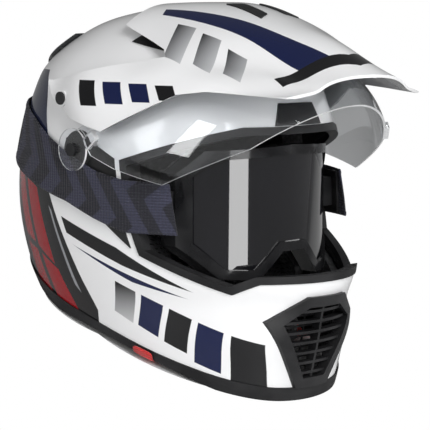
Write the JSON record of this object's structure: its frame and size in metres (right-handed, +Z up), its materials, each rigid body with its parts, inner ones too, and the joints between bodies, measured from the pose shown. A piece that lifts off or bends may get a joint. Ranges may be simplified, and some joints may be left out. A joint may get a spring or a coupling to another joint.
{
  "type": "dual sport helmet",
  "caption": "Full-face off-road helmet with a bolted peak, a raised clear face shield, strapped-on goggles and a vented chin bar.",
  "frame": {"origin": "on the ground plane, under the middle of the bounding box", "axes": "+Z up, -Y the way the wearer faces, +X the wearer's left; the helmet stands on its rim"},
  "size_m": [0.2694, 0.374, 0.2961],
  "materials": {
    "shell_white": "glossy white lacquer with printed stripes",
    "peak_white": "glossy white lacquer with printed bands",
    "black_rubber": "satin black rubber",
    "black_trim": "satin black plastic",
    "black_gloss": "polished black plastic",
    "grey_cover": "dark glossy plastic",
    "impact_foam": "beaded expanded foam",
    "pad_fabric": "brushed knit over soft foam",
    "perforated_pad": "perforated faux suede over foam",
    "red_webbing": "woven red webbing",
    "black_webbing": "woven black webbing",
    "clear_plastic": "clear hard-coated sheet",
    "smoke_lens": "smoke mirror lens",
    "face_foam": "open-cell face foam",
    "strap_weave": "navy woven elastic with a tonal pattern",
    "steel": "bright metal",
    "black_steel": "blackened metal",
    "mesh": "fine dark metal mesh"
  },
  "bodies": {
    "helmet": {"outer_shell": "shell_white", "base_trim": "black_rubber", "eye_port_gasket": "black_rubber", "impact_liner": "impact_foam", "crown_pad": "pad_fabric", "forehead_pad": "pad_fabric", "neck_roll": "pad_fabric", "chin_liner": "impact_foam", "chin_bar_pad": "perforated_pad", "chin_vent_frame": "black_trim", "chin_vent_louvres": "black_trim", "chin_vent_mesh": "mesh", "rear_vent_cover": "grey_cover", "rear_top_vents": "grey_cover", "crown_scoops": "black_trim", "brow_plate": "black_trim", "side_plate_right": "black_trim", "side_plate_left": "black_trim", "pivot_discs": "black_trim", "shield_pivot_screws": "black_trim", "peak_side_screws": "black_trim", "peak_centre_mount": "black_trim", "goggle_frame": "black_gloss", "goggle_lens": "smoke_lens", "goggle_foam": "face_foam", "goggle_outrigger_right": "black_trim", "goggle_outrigger_left": "black_trim", "goggle_strap": "strap_weave", "strap_buckle": "black_trim", "chin_strap_right": "black_webbing", "chin_strap_left": "black_webbing", "strap_anchors": "black_steel", "strap_snap": "steel"},
    "shield": {"face_shield": "clear_plastic", "shield_tab": "clear_plastic", "shield_studs": "steel"},
    "peak": {"peak": "peak_white", "peak_inlets": "black_trim"},
    "cheek_pad_right": {"cheek_pad_right": "perforated_pad", "release_tab_right": "red_webbing"},
    "cheek_pad_left": {"cheek_pad_left": "perforated_pad", "release_tab_left": "red_webbing"},
    "strap_rings": {"d_rings": "steel"}
  },
  "joints": [
    {"name": "shield_flip", "type": "hinge", "parent": "helmet", "child": "shield", "pos_m": [0, 0.02454, 0.15173], "axis": [1, 0, 0], "range_deg": [0, 40]},
    {"name": "peak_tilt", "type": "hinge", "parent": "helmet", "child": "peak", "pos_m": [0, 0.05146, 0.18807], "axis": [-1, 0, 0], "range_deg": [0, 6]},
    {"name": "cheek_pull_right", "type": "slide", "parent": "helmet", "child": "cheek_pad_right", "axis": [0.1736, 0, -0.9848], "range_m": [0, 0.04]},
    {"name": "cheek_pull_left", "type": "slide", "parent": "helmet", "child": "cheek_pad_left", "axis": [-0.1736, 0, -0.9848], "range_m": [0, 0.04]},
    {"name": "ring_swing", "type": "hinge", "parent": "helmet", "child": "strap_rings", "pos_m": [-0.034, 0.01578, 0.0067], "axis": [0, -1, 0], "range_deg": [0, 60]}
  ]
}
